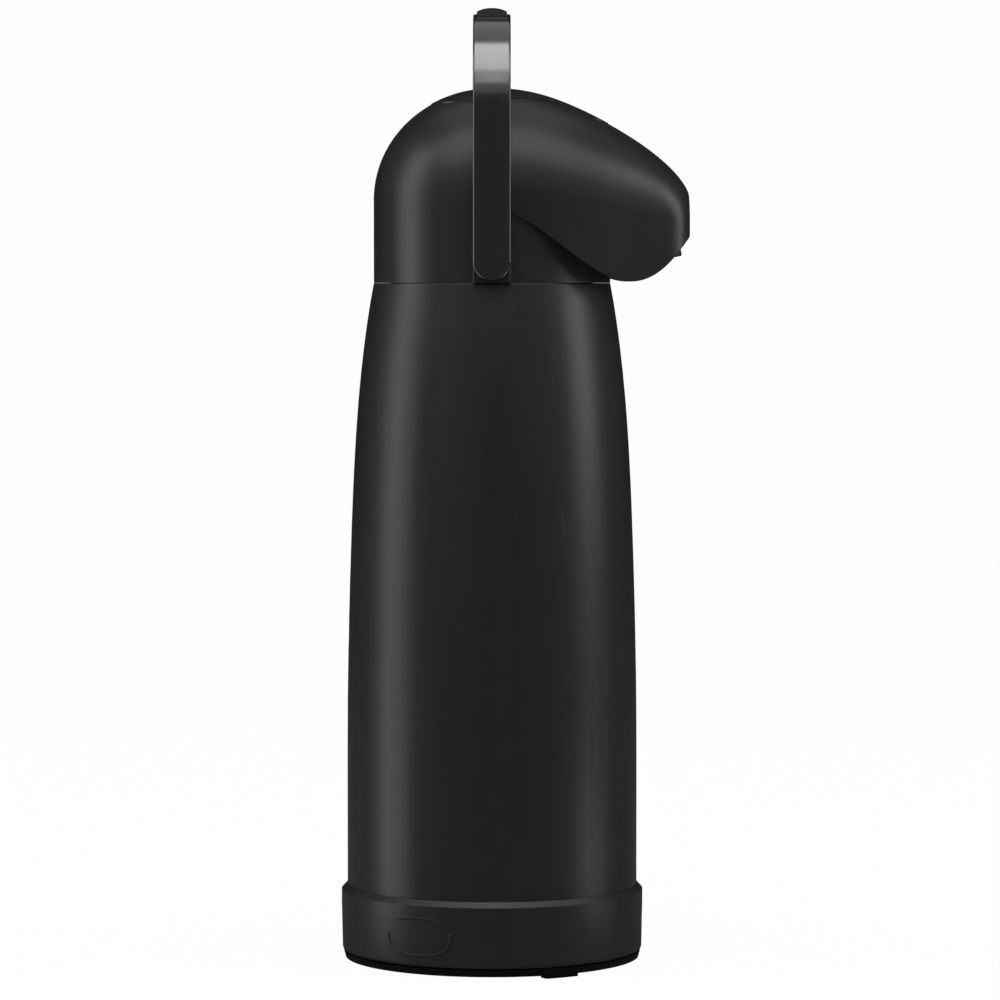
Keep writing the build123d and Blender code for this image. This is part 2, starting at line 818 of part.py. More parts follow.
# Head base: the threaded cup inside the head, closed by the plate that carries the pump
with BuildPart() as head_base:
    with BuildSketch(Plane.XZ) as base_profile:
        with BuildLine():
            Polyline(
                (stopper_r + seat_gap, base_plate_z),
                (base_skirt_inner_r, base_plate_z),
                (base_skirt_inner_r, seam_z + base_skirt_lift),
                (base_skirt_outer_r, seam_z + base_skirt_lift),
                (base_skirt_outer_r, frame_z),
                (stopper_r + seat_gap, frame_z),
                close=True,
            )
        make_face()
    revolve(axis=Axis.Z)
    for angle in boss_angles:
        with BuildSketch(Plane.XY.offset(base_plate_z)):
            with PolarLocations(head_screw_ring_r, 1, angle):
                Circle(head_screw_r + seat_gap)
        extrude(amount=base_plate_t, mode=Mode.SUBTRACT)
head_base.part.label = "head_base"

with BuildPart() as head_screws:
    for angle in boss_angles:
        with BuildSketch(Plane.XY.offset(base_plate_z - head_screw_head_h)) as screw_head:
            with PolarLocations(head_screw_ring_r, 1, angle):
                Circle(head_screw_head_r)
        extrude(amount=head_screw_head_h)
        with BuildSketch(Plane.XY.offset(base_plate_z)) as screw_shank:
            with PolarLocations(head_screw_ring_r, 1, angle):
                Circle(head_screw_r)
        extrude(amount=head_screw_length)
head_screws.part.label = "head_screws"

# Stopper with its valve chamber, the socket that closes the chamber, and the check ball
with BuildPart() as stopper:
    with BuildSketch(Plane.XZ) as stopper_profile:
        with BuildLine():
            Polyline(
                (socket_r + tube_gap, stopper_low_z),
                (stopper_r - stopper_lead_r, stopper_low_z),
                (stopper_r, stopper_low_z + stopper_lead_h),
                (stopper_r, stopper_flange_z),
                (stopper_flange_r, stopper_flange_z),
                (stopper_flange_r, base_plate_z),
                (stopper_r, base_plate_z),
                (stopper_r, frame_z),
                (hose_r + tube_gap, frame_z),
                (hose_r + tube_gap, frame_z - hose_seat),
                (hose_bore_r, frame_z - hose_seat),
                (hose_bore_r, ball_chamber_top_z),
                (ball_chamber_r, ball_chamber_top_z),
                (ball_chamber_r, ball_chamber_low_z),
                (socket_r + tube_gap, ball_chamber_low_z),
                close=True,
            )
        make_face()
    revolve(axis=Axis.Z)
    with BuildSketch(Plane.XY.offset(stopper_low_z)):
        with Locations((duct_x, 0)):
            Circle(duct_bore_r)
    extrude(amount=frame_z - stopper_low_z, mode=Mode.SUBTRACT)
stopper.part.label = "stopper"

with BuildPart() as tube_socket:
    with BuildSketch(Plane.XZ) as socket_profile:
        with BuildLine():
            Polyline(
                (siphon_r + tube_gap, stopper_low_z),
                (socket_r, stopper_low_z),
                (socket_r, ball_chamber_low_z),
                (siphon_bore_r, ball_chamber_low_z),
                (siphon_bore_r, stopper_low_z + siphon_seat),
                (siphon_r + tube_gap, stopper_low_z + siphon_seat),
                close=True,
            )
        make_face()
    revolve(axis=Axis.Z)
tube_socket.part.label = "tube_socket"

with BuildPart() as check_ball:
    seat_rise = math.sqrt(ball_r**2 - siphon_bore_r**2) + seat_gap
    with Locations((0, 0, ball_chamber_low_z + seat_rise)):
        Sphere(ball_r)
check_ball.part.label = "check_ball"

with BuildPart() as stopper_gasket:
    with BuildSketch(Plane.XY.offset(stopper_gasket_z)):
        Circle(stopper_gasket_outer_r)
        Circle(stopper_gasket_r, mode=Mode.SUBTRACT)
    extrude(amount=stopper_gasket_t)
stopper_gasket.part.label = "stopper_gasket"

with BuildPart() as siphon_tube:
    with BuildSketch(Plane.XY.offset(siphon_low_z)):
        Circle(siphon_r)
        Circle(siphon_bore_r, mode=Mode.SUBTRACT)
    extrude(amount=stopper_low_z + siphon_seat - siphon_low_z)
    with BuildSketch(Plane.XY.offset(siphon_low_z)):
        Rectangle(3 * siphon_r, siphon_notch_w)
    extrude(amount=siphon_notch, mode=Mode.SUBTRACT)
siphon_tube.part.label = "siphon_tube"

# Outlet hose from the stopper to the nozzle
with BuildPart() as outlet_hose:
    with BuildLine(Plane.XZ) as hose_path:
        FilletPolyline(
            (0, frame_z - hose_seat),
            (0, frame_z + hose_rise),
            (
                nozzle_x - hose_corner * math.sin(nozzle_tilt),
                nozzle_tip_z + hose_corner * math.cos(nozzle_tilt),
            ),
            (
                nozzle_x - hose_stop * math.sin(nozzle_tilt),
                nozzle_tip_z + hose_stop * math.cos(nozzle_tilt),
            ),
            radius=hose_bend_r,
        )
    with BuildSketch(Plane.XY.offset(frame_z - hose_seat)):
        Circle(hose_r)
        Circle(hose_bore_r, mode=Mode.SUBTRACT)
    sweep(path=hose_path.line)
outlet_hose.part.label = "outlet_hose"

with BuildPart() as nozzle:
    with BuildSketch(nozzle_axis):
        Circle(nozzle_r)
    extrude(amount=nozzle_length)
    fillet(nozzle.faces().sort_by(Axis.Z)[0].edges(), nozzle_edge)
    with BuildSketch(nozzle_axis.offset(hose_stop)):
        Circle(hose_r + tube_gap)
    extrude(amount=nozzle_length - hose_stop, mode=Mode.SUBTRACT)
    with BuildSketch(nozzle_axis):
        Circle(nozzle_bore_r)
    extrude(amount=hose_stop, mode=Mode.SUBTRACT)
    with BuildSketch(nozzle_axis):
        Circle(nozzle_mouth_r)
    extrude(amount=nozzle_mouth_h, taper=nozzle_mouth_taper, mode=Mode.SUBTRACT)
nozzle.part.label = "nozzle"

# Pump frame over the hose, and the duct that leads the air down through the stopper
with BuildPart() as pump_frame:
    with BuildSketch(Plane.XY.offset(frame_z)):
        Circle(frame_r)
        Circle(frame_r - frame_wall, mode=Mode.SUBTRACT)
    extrude(amount=frame_h)
    with BuildSketch(Plane.XY.offset(frame_z)):
        with Locations((frame_r, 0)):
            Rectangle(4 * frame_wall, 2 * (hose_r + frame_slot_spare))
    extrude(amount=frame_h, mode=Mode.SUBTRACT)
    with BuildSketch(Plane.XY.offset(frame_z + frame_h)):
        Circle(frame_r)
        with Locations((duct_x, 0)):
            Circle(duct_bore_r, mode=Mode.SUBTRACT)
    extrude(amount=frame_deck)
pump_frame.part.label = "pump_frame"

with BuildPart() as air_duct:
    with BuildSketch(Plane.XY.offset(frame_z)):
        with Locations((duct_x, 0)):
            Circle(duct_r)
            Circle(duct_bore_r, mode=Mode.SUBTRACT)
    extrude(amount=frame_h)
air_duct.part.label = "air_duct"

# Bellows, return spring and push plate
with BuildPart() as bellows:
    fold_h = (plate_low_z - frame_top_z - 2 * bellows_flange_t) / (2 * bellows_folds)
    zigzag = []
    for k in range(2 * bellows_folds + 1):
        fold_r = bellows_r if k % 2 else bellows_r - bellows_fold
        zigzag.append((fold_r, frame_top_z + bellows_flange_t + k * fold_h))
    inner_zigzag = [(r - bellows_wall, z) for r, z in reversed(zigzag)]
    with BuildSketch(Plane.XZ) as bellows_profile:
        with BuildLine():
            Polyline(
                (bellows_flange_r, frame_top_z),
                (bellows_r - bellows_fold, frame_top_z),
                *zigzag,
                (bellows_r - bellows_fold, plate_low_z),
                (bellows_flange_r, plate_low_z),
                (bellows_flange_r, plate_low_z - bellows_flange_t),
                *inner_zigzag,
                (bellows_flange_r, frame_top_z + bellows_flange_t),
                close=True,
            )
        make_face()
    revolve(axis=Axis.Z)
bellows.part.label = "bellows"

with BuildPart() as return_spring:
    spring_rise = plate_low_z - frame_top_z - 2 * spring_wire_r - seat_gap
    spring_path = Helix(
        spring_rise / spring_turns,
        spring_rise,
        spring_r,
        center=(0, 0, frame_top_z + spring_wire_r + seat_gap / 2),
        mode=Mode.PRIVATE,
    )
    with BuildSketch(Plane(spring_path @ 0, z_dir=spring_path % 0)):
        Circle(spring_wire_r)
    sweep(path=spring_path, is_frenet=True)
return_spring.part.label = "return_spring"

with BuildPart() as push_plate:
    with BuildSketch(Plane.XY.offset(plate_low_z)):
        Circle(plate_r)
    extrude(amount=plate_t)
    fillet(push_plate.edges().sort_by(Axis.Z)[-1], plate_edge)
    with BuildSketch(Plane.XY.offset(plate_low_z)):
        Circle(plate_boss_r)
    extrude(amount=plate_t + plate_boss_h)
    with BuildSketch(Plane.XY.offset(plate_low_z)):
        with PolarLocations(vent_ring_r, vent_count):
            Circle(vent_r)
    extrude(amount=plate_t + plate_boss_h, mode=Mode.SUBTRACT)
push_plate.part.label = "push_plate"

with BuildPart() as valve_flap:
    with BuildSketch(Plane.XY.offset(plate_low_z - flap_t)):
        Circle(flap_r)
    extrude(amount=flap_t)
valve_flap.part.label = "valve_flap"

# Pump key: the press lever let into the top of the head, hinged at its front end
with BuildPart() as key_hollow:
    with BuildSketch(Plane.XY.offset(key_skirt_z - key_wall)):
        add(key_hollow_plan)
    extrude(amount=dome_top_z - key_skirt_z + key_wall)
    add(key_inside, mode=Mode.INTERSECT)

with BuildPart() as pump_key:
    with BuildSketch(Plane.XY.offset(key_skirt_z)):
        add(key_plan)
    extrude(amount=dome_top_z - key_skirt_z + key_crown_spare)
    add(key_outside, mode=Mode.INTERSECT)
    add(key_hollow.part, mode=Mode.SUBTRACT)
    with BuildSketch(Plane.XZ) as rib_profile:
        with Locations((0, key_rib_low_z + key_rib_r)):
            Circle(key_rib_r)
        rib_top_z = dome_top_z - key_wall + key_rib_bite
        with Locations((0, (rib_top_z + key_rib_low_z + key_rib_r) / 2)):
            Rectangle(2 * key_rib_r, rib_top_z - key_rib_low_z - key_rib_r)
    extrude(amount=key_rib_w / 2, both=True)
    with BuildSketch(Plane.XZ) as key_lug_profile:
        with Locations((key_pin_x, key_pin_z)):
            Circle(key_lug_half_w)
        with Locations((key_pin_x, key_pin_z + key_lug_h / 2)):
            Rectangle(2 * key_lug_half_w, key_lug_h)
    extrude(amount=key_lug_y + key_lug_t, both=True)
    with BuildSketch(Plane.XZ) as key_lug_gap:
        with Locations((key_pin_x, key_pin_z)):
            Rectangle(4 * key_lug_half_w, key_lug_gap_h)
    extrude(amount=key_lug_y, both=True, mode=Mode.SUBTRACT)
    with BuildSketch(Plane.XZ) as key_bore:
        with Locations((key_pin_x, key_pin_z)):
            Circle(key_pin_r + running_clearance)
    extrude(amount=key_front_r + pin_lug_gap, both=True, mode=Mode.SUBTRACT)
pump_key.part.label = "pump_key"

with BuildPart() as key_pin:
    with BuildSketch(Plane.XZ) as pin_section:
        with Locations((key_pin_x, key_pin_z)):
            Circle(key_pin_r)
    extrude(amount=key_front_r + pin_lug_gap + pin_lug_t, both=True)
key_pin.part.label = "key_pin"

# Bail: a flat strap with round ends, its pivot pins and its grip pad
with BuildPart() as bail_handle:
    with BuildSketch(Plane.YZ.offset(-bail_w / 2)) as bail_profile:
        with BuildLine():
            FilletPolyline(
                (-bail_outer_y, pivot_z - bail_w / 2),
                (-bail_outer_y, bail_top_z),
                (bail_outer_y, bail_top_z),
                (bail_outer_y, pivot_z - bail_w / 2),
                radius=bail_corner_r,
            )
            Line((bail_outer_y, pivot_z - bail_w / 2), (bail_inner_y, pivot_z - bail_w / 2))
            FilletPolyline(
                (bail_inner_y, pivot_z - bail_w / 2),
                (bail_inner_y, bail_top_z - bail_t),
                (-bail_inner_y, bail_top_z - bail_t),
                (-bail_inner_y, pivot_z - bail_w / 2),
                radius=bail_corner_r - bail_t,
            )
            Line((-bail_inner_y, pivot_z - bail_w / 2), (-bail_outer_y, pivot_z - bail_w / 2))
        make_face()
    extrude(amount=bail_w)
    end_edges = bail_handle.edges().filter_by(Axis.Y).group_by(Axis.Z)[0]
    fillet(end_edges, bail_w / 2 - bail_end_flat)
    rims = bail_handle.faces().filter_by(Axis.X).edges()
    fillet(rims, bail_edge)
    for side in (-1, 1):
        with BuildSketch(Plane.XZ.offset(-side * bail_inner_y)) as pin_seat:
            with Locations((0, pivot_z)):
                Circle(pivot_r + press_gap)
        extrude(amount=-side * pivot_depth, mode=Mode.SUBTRACT)
bail_handle.part.label = "bail_handle"

with BuildPart() as bail_pins:
    for side in (-1, 1):
        with BuildSketch(Plane.XZ.offset(-side * pivot_inner_y)) as pivot_section:
            with Locations((0, pivot_z)):
                Circle(pivot_r)
        extrude(amount=-side * (bail_inner_y + pivot_depth - running_clearance - pivot_inner_y))
bail_pins.part.label = "bail_pins"

with BuildPart() as bail_grip:
    grip_bend_y = bail_outer_y - bail_corner_r
    grip_low_z = bail_top_z + grip_gap
    grip_arc_drop = math.sqrt(bail_corner_r**2 - (grip_half_l - grip_bend_y) ** 2)
    grip_end_z = grip_low_z - bail_corner_r + grip_arc_drop
    with BuildSketch(Plane.YZ.offset(-grip_w / 2)) as grip_profile:
        with BuildLine():
            Line((-grip_bend_y, grip_low_z), (grip_bend_y, grip_low_z))
            RadiusArc((grip_bend_y, grip_low_z), (grip_half_l, grip_end_z), bail_corner_r)
            Line((grip_half_l, grip_end_z), (grip_half_l, grip_end_z + grip_edge_t))
            ThreePointArc(
                (grip_half_l, grip_end_z + grip_edge_t),
                (0, bail_top_z + grip_t + grip_arc_rise),
                (-grip_half_l, grip_end_z + grip_edge_t),
            )
            Line((-grip_half_l, grip_end_z + grip_edge_t), (-grip_half_l, grip_end_z))
            RadiusArc((-grip_half_l, grip_end_z), (-grip_bend_y, grip_low_z), bail_corner_r)
        make_face()
    extrude(amount=grip_w)
    grip_crown_h = grip_t - grip_edge_t
    grip_crown_r = (grip_w**2 / 4 + grip_crown_h**2) / (2 * grip_crown_h)
    with BuildSketch(Plane.XZ) as grip_crown:
        with Locations((0, bail_top_z + grip_t - grip_crown_r)):
            Circle(grip_crown_r)
    extrude(amount=grip_half_l + grip_edge_t, both=True, mode=Mode.INTERSECT)
bail_grip.part.label = "bail_grip"

os.makedirs("parts", exist_ok=True)
for piece in (
    body_shell,
    base_cup,
    swivel_disc,
    foot_pads,
    swivel_screw,
    swivel_washer,
    swivel_glide,
    flask_outer_wall,
    flask_inner_wall,
    flask_spacers,
    flask_cushion,
    neck_gasket,
    mouth_ring,
    head_shell,
    head_base,
    head_screws,
    stopper,
    tube_socket,
    check_ball,
    stopper_gasket,
    siphon_tube,
    outlet_hose,
    nozzle,
    pump_frame,
    air_duct,
    bellows,
    return_spring,
    push_plate,
    valve_flap,
    pump_key,
    key_pin,
    bail_handle,
    bail_pins,
    bail_grip,
):
    export_step(piece.part, f"parts/{piece.part.label}.step")
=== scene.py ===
import math

import bmesh
import bpy
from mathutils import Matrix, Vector


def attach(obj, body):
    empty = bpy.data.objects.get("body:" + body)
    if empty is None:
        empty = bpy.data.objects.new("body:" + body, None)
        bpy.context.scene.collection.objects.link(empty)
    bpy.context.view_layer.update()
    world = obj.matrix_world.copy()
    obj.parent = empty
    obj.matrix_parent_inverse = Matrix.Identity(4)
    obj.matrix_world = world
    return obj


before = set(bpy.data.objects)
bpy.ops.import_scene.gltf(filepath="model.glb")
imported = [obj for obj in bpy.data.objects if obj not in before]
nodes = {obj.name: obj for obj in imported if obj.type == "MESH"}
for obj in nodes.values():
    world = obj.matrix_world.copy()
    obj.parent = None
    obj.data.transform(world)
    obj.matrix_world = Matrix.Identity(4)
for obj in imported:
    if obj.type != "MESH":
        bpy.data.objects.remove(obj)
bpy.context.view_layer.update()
print("frame loaded:", len(nodes), "nodes")


# small helpers: selection, colour and node trees

def clearSelection():
    if bpy.context.mode != "OBJECT":
        bpy.ops.object.mode_set(mode="OBJECT")
    bpy.ops.object.select_all(action="DESELECT")


def makeActive(piece):
    clearSelection()
    piece.select_set(True)
    bpy.context.view_layer.objects.active = piece


def fromHex(text, alpha=1.0):
    # sRGB hex to the linear colour a shader wants
    parts = [int(text[i:i + 2], 16) / 255 for i in (0, 2, 4)]
    linear = [c / 12.92 if c <= 0.04045 else ((c + 0.055) / 1.055) ** 2.4 for c in parts]
    return (*linear, alpha)


def addNode(material, kind, links=(), settings=None, **sockets):
    # one node: sockets by name, and links as (own input, other node, its output)
    tree = material.node_tree
    node = tree.nodes.new(kind)
    for name, value in (settings or {}).items():
        setattr(node, name, value)
    for name, value in sockets.items():
        node.inputs[name.replace("_", " ")].default_value = value
    for own, other, output in links:
        tree.links.new(other.outputs[output], node.inputs[own])
    return node


def emptyMaterial(name):
    material = bpy.data.materials.new(name)
    material.use_nodes = True
    material.node_tree.nodes.clear()
    return material


def wear(piece, material):
    piece.data.materials.clear()
    piece.data.materials.append(material)


def perMetre(millimetres):
    # pattern scale for a feature of that size
    return 1000.0 / millimetres


# camera: level with the seam, long lens, tipped down a little as in the photograph
cameraView = {
    "sideways": 0.0035,
    "distance": 1.936,
    "height": 0.2988,
    "aimHeight": 0.2033,
    "lens": 158.5,
    "sensor": 36.0,
}
bpy.ops.object.camera_add()
camera = bpy.context.object
camera.name = "photoCamera"
camera.data.lens = cameraView["lens"]
camera.data.sensor_width = cameraView["sensor"]
camera.location = (cameraView["sideways"], -cameraView["distance"], cameraView["height"])
tip = math.atan2(cameraView["height"] - cameraView["aimHeight"], cameraView["distance"])
camera.rotation_euler = (math.pi / 2 - tip, 0, 0)
bpy.context.scene.camera = camera
bpy.context.scene.view_settings.view_transform = "Standard"
print("camera ready")


# studio: white sweep, side boxes at a right angle to the view, an overhead box with a strip
# that runs to the front for the strap, a faint back box, wings and a fill
studio = {
    "floorColour": "f4f4f4",
    "cameraShare": 0.985,          # how much of the sweep the camera sees as plain white
    "reflectedShade": "707070",    # grey cards: the sweep as gloss sees it
    "worldGrey": "5a5a5a",
    "width": 8.0,
    "rise": 5.0,
    "bend": 1.5,
    "bendSteps": 16,
    "cardOpening": 13,             # degrees to each side of a floor card's own middle line
    "cardLean": 4,                 # degrees that this line turns to the front
    "cardRoot": -0.05,
    "cardLift": 0.002,
}
lamps = {
    # name: place, aim, width, height, radiance
    "leftBox": ((-1.25, -0.10, 0.55), (0, 0, 0.22), 0.54, 1.5, 2.45),
    "rightBox": ((1.25, -0.11, 0.76), (0, 0, 0.30), 0.52, 1.2, 2.8),
    "overheadBox": ((0.0, -0.50, 1.42), (0, 0, 0.38), 2.30, 0.85, 1.75),
    "overheadStrip": ((0.0, -0.97, 1.38), (0, -0.97, 0.40), 0.14, 1.63, 2.3),
    "backBox": ((0.0, 0.35, 1.45), (0, 0, 0.38), 1.20, 0.80, 0.45),
    "leftWing": ((-0.95, -1.15, 0.85), (0, 0, 0.25), 0.90, 1.30, 0.25),
    "rightWing": ((0.95, -1.15, 0.85), (0, 0, 0.25), 0.90, 1.30, 0.12),
    "frontFill": ((0.0, -2.4, 1.6), (0, 0, 0.2), 2.0, 1.0, 0.35),
}
# pale cards lying on the floor at either side, seen only as gloss on the lower body
bounceCards = {
    # name: side, near end, far end, radiance
    "leftRingCard": (-1, 0.11, 0.26, 1.2),
    "leftNearCard": (-1, 0.26, 0.45, 2.5),
    "leftCard": (-1, 0.45, 1.25, 1.6),
    "rightRingCard": (1, 0.14, 0.26, 1.0),
    "rightNearCard": (1, 0.26, 0.45, 2.7),
    "rightCard": (1, 0.45, 0.80, 0.7),
}


def addLamp(name, place, aim, width, height, radiance):
    bpy.ops.object.light_add(type="AREA", location=place)
    lamp = bpy.context.object
    lamp.name = name
    lamp.data.shape = "RECTANGLE"
    lamp.data.size = width
    lamp.data.size_y = height
    lamp.data.energy = radiance * math.pi * width * height
    lamp.rotation_euler = (Vector(aim) - Vector(place)).to_track_quat("-Z", "Y").to_euler()
    return lamp


for lampName, values in lamps.items():
    addLamp(lampName, *values)


def addCard(name, side, near, far, radiance):
    # a wedge of floor under one constant angle from the object, turned a little to the front
    opening = math.tan(math.radians(studio["cardOpening"]))
    lean = math.tan(math.radians(studio["cardLean"]))
    corners = [(near, -1), (far, -1), (far, 1), (near, 1)]
    points = [
        (
            side * reach,
            studio["cardRoot"] + reach * (wing * opening - lean),
            studio["cardLift"],
        )
        for reach, wing in corners
    ]
    data = bpy.data.meshes.new(name)
    data.from_pydata(points, [], [tuple(range(4))])
    card = bpy.data.objects.new(name, data)
    bpy.context.collection.objects.link(card)
    paper = emptyMaterial(name + "Paper")
    ray = addNode(paper, "ShaderNodeLightPath")
    shine = addNode(paper, "ShaderNodeEmission", Strength=radiance)
    clear = addNode(paper, "ShaderNodeBsdfTransparent")
    only = addNode(
        paper, "ShaderNodeMixShader",
        [("Fac", ray, "Is Glossy Ray"), (1, clear, 0), (2, shine, 0)],
    )
    addNode(paper, "ShaderNodeOutputMaterial", [("Surface", only, 0)])
    wear(card, paper)


for cardName, values in bounceCards.items():
    addCard(cardName, *values)


def selectBackEdge(piece):
    # the floor's own back edge: the far one of those that lie at the floor's level
    mesh = bmesh.from_edit_mesh(piece.data)
    back = studio["width"] / 2
    slack = 0.01
    for edge in mesh.edges:
        edge.select = all(
            abs(v.co.y - back) < slack and abs(v.co.z) < slack for v in edge.verts
        )


clearSelection()
bpy.ops.mesh.primitive_plane_add(size=studio["width"], location=(0, 0, 0))
sweep = bpy.context.object
sweep.name = "studioSweep"
bpy.ops.object.mode_set(mode="EDIT")
selectBackEdge(sweep)
bpy.ops.mesh.extrude_edges_move(TRANSFORM_OT_translate={"value": (0, 0, studio["rise"])})
selectBackEdge(sweep)
bpy.ops.mesh.bevel(offset=studio["bend"], segments=studio["bendSteps"])
bpy.ops.object.mode_set(mode="OBJECT")
bpy.ops.object.shade_smooth()


def seenDirectly(holder):
    # 1 for what the camera sees, straight or through a clear piece, else 0
    ray = addNode(holder, "ShaderNodeLightPath")
    return addNode(
        holder, "ShaderNodeMath",
        [(0, ray, "Is Camera Ray"), (1, ray, "Is Transmission Ray")], {"operation": "MAXIMUM"},
    )


sweepPaint = emptyMaterial("paintedStudioSweep")
path = addNode(sweepPaint, "ShaderNodeLightPath")
shade = addNode(
    sweepPaint, "ShaderNodeMix", [("Factor", path, "Is Glossy Ray")], {"data_type": "RGBA"}
)
shade.inputs[6].default_value = fromHex(studio["floorColour"])
shade.inputs[7].default_value = fromHex(studio["reflectedShade"])
paint = addNode(sweepPaint, "ShaderNodeBsdfDiffuse", [("Color", shade, 2)])
glow = addNode(sweepPaint, "ShaderNodeEmission", Strength=1.0)
direct = seenDirectly(sweepPaint)
seen = addNode(sweepPaint, "ShaderNodeMath", [(0, direct, 0)], {"operation": "MULTIPLY"})
seen.inputs[1].default_value = studio["cameraShare"]
blendSeen = addNode(
    sweepPaint, "ShaderNodeMixShader", [("Fac", seen, 0), (1, paint, 0), (2, glow, 0)]
)
addNode(sweepPaint, "ShaderNodeOutputMaterial", [("Surface", blendSeen, 0)])
wear(sweep, sweepPaint)

world = bpy.data.worlds.new("studioWorld")
bpy.context.scene.world = world
world.use_nodes = True
world.node_tree.nodes.clear()
direct = seenDirectly(world)
tone = addNode(world, "ShaderNodeMix", [("Factor", direct, 0)], {"data_type": "RGBA"})
tone.inputs[6].default_value = fromHex(studio["worldGrey"])
tone.inputs[7].default_value = (1, 1, 1, 1)
sky = addNode(world, "ShaderNodeBackground", [("Color", tone, 2)], Strength=1.0)
addNode(world, "ShaderNodeOutputWorld", [("Surface", sky, 0)])
print("studio ready")


# materials: what the looks below share
midRange = (0.3, 0.7)          # where a noise has most of its values
plastic = {
    "scuffStretch": 0.16,
    "scuffLine": 0.012,        # share of a scuff cell that its edge line takes
    "scuffPatches": (0.62, 0.74),
    "scuffDulls": 0.16,
    "peelDepth": 0.0004,
    "grainDepth": 0.00006,
}
rubber = {"glossSwing": 0.06, "poreStrength": 0.3, "poreDepth": 0.0001, "throughDepth": 0.002}
metalMarkDepth = 0.00005


def objectPattern(material, scale=(1, 1, 1)):
    place = addNode(material, "ShaderNodeTexCoord")
    return addNode(
        material, "ShaderNodeMapping", [("Vector", place, "Object")], Scale=scale
    )


def spread(material, source, output, low, high, fromLow=0.0, fromHigh=1.0):
    # a pattern's 0 to 1 turned into the range a socket needs
    node = addNode(material, "ShaderNodeMapRange", [("Value", source, output)])
    node.inputs["From Min"].default_value = fromLow
    node.inputs["From Max"].default_value = fromHigh
    node.inputs["To Min"].default_value = low
    node.inputs["To Max"].default_value = high
    return node


def twoTone(material, source, output, darkHex, paleHex):
    node = addNode(
        material, "ShaderNodeMix", [("Factor", source, output)], {"data_type": "RGBA"}
    )
    node.inputs[6].default_value = fromHex(darkHex)
    node.inputs[7].default_value = fromHex(paleHex)
    return node


def mouldedPlastic(name, look):
    # polished moulds leave a faint orange-peel and flow streaks, use leaves fine scuffs
    material = emptyMaterial(name)
    plain = objectPattern(material)
    streaky = objectPattern(material, (1, 1, look.get("streakStretch", 0.08)))
    grain = addNode(
        material, "ShaderNodeTexNoise", [("Vector", plain, 0)],
        Scale=perMetre(look["grainMm"]), Detail=3.0, Roughness=0.6,
    )
    peel = addNode(
        material, "ShaderNodeTexNoise", [("Vector", plain, 0)],
        Scale=perMetre(look["peelMm"]), Detail=1.5, Roughness=0.4,
    )
    flow = addNode(
        material, "ShaderNodeTexNoise", [("Vector", streaky, 0)],
        Scale=perMetre(look["flowMm"]), Detail=4.0, Roughness=0.55,
    )
    scuffPlace = objectPattern(material, (1, 1, plastic["scuffStretch"]))
    scuffs = addNode(
        material, "ShaderNodeTexVoronoi", [("Vector", scuffPlace, 0)],
        {"feature": "DISTANCE_TO_EDGE"}, Scale=perMetre(look["scuffMm"]), Randomness=1.0,
    )
    line = spread(material, scuffs, "Distance", 1.0, 0.0, 0.0, plastic["scuffLine"])
    patches = addNode(
        material, "ShaderNodeTexNoise", [("Vector", plain, 0)],
        Scale=perMetre(look["patchMm"]), Detail=2.0,
    )
    where = spread(material, patches, 0, 0.0, 1.0, *plastic["scuffPatches"])
    scuffed = addNode(
        material, "ShaderNodeMath", [(0, line, 0), (1, where, 0)], {"operation": "MULTIPLY"}
    )
    colour = twoTone(material, flow, 0, look["dark"], look["pale"])
    worn = addNode(
        material, "ShaderNodeMix", [("Factor", scuffed, 0), (6, colour, 2)],
        {"data_type": "RGBA"},
    )
    worn.inputs[7].default_value = fromHex(look["scuffed"])
    gloss = spread(
        material, flow, 0,
        look["roughness"] - look["spread"], look["roughness"] + look["spread"], *midRange,
    )
    dulled = addNode(
        material, "ShaderNodeMath", [(0, scuffed, 0), (2, gloss, 0)],
        {"operation": "MULTIPLY_ADD"},
    )
    dulled.inputs[1].default_value = plastic["scuffDulls"]
    peelBump = addNode(
        material, "ShaderNodeBump", [("Height", peel, 0)],
        Strength=look["peelStrength"], Distance=plastic["peelDepth"],
    )
    grainBump = addNode(
        material, "ShaderNodeBump", [("Height", grain, 0), ("Normal", peelBump, 0)],
        Strength=look["grainStrength"], Distance=plastic["grainDepth"],
    )
    shader = addNode(
        material, "ShaderNodeBsdfPrincipled",
        [("Base Color", worn, 2), ("Roughness", dulled, 0), ("Normal", grainBump, 0)],
        IOR=look.get("ior", 1.49),
    )
    shader.inputs["Coat Weight"].default_value = look.get("coat", 0.0)
    shader.inputs["Coat Roughness"].default_value = look.get("coatRoughness", 0.2)
    addNode(material, "ShaderNodeOutputMaterial", [("Surface", shader, 0)])
    return material


shellLook = {
    "dark": "1c1c1d", "pale": "242425", "scuffed": "383839", "roughness": 0.37, "spread": 0.03,
    "grainMm": 0.7, "grainStrength": 0.10, "peelMm": 9.0, "peelStrength": 0.05,
    "flowMm": 14.0, "scuffMm": 26.0, "patchMm": 60.0,
}
headLook = dict(shellLook, roughness=0.36, flowMm=18.0, streakStretch=0.4, patchMm=45.0)
keyLook = dict(
    shellLook, roughness=0.33, flowMm=10.0, streakStretch=0.6, scuffMm=9.0, patchMm=18.0,
)
cupLook = dict(shellLook, roughness=0.40, grainStrength=0.22, scuffMm=12.0, patchMm=30.0)
# swivel disc: matt black plastic with painted shade, near-black and almost without reflection
# so that it reads as the dark band of shade under the foot ring
swivelDiscShadeLook = dict(
    shellLook, dark="030303", pale="050505", scuffed="0c0c0c", roughness=0.6, grainStrength=0.4,
    ior=1.3,
)
bailLook = {
    "dark": "121213", "pale": "171718", "scuffed": "313132", "roughness": 0.20, "spread": 0.03,
    "grainMm": 0.6, "grainStrength": 0.05, "peelMm": 12.0, "peelStrength": 0.03,
    "flowMm": 9.0, "scuffMm": 11.0, "patchMm": 22.0, "coat": 1.0, "coatRoughness": 0.14,
    "ior": 1.8,
}
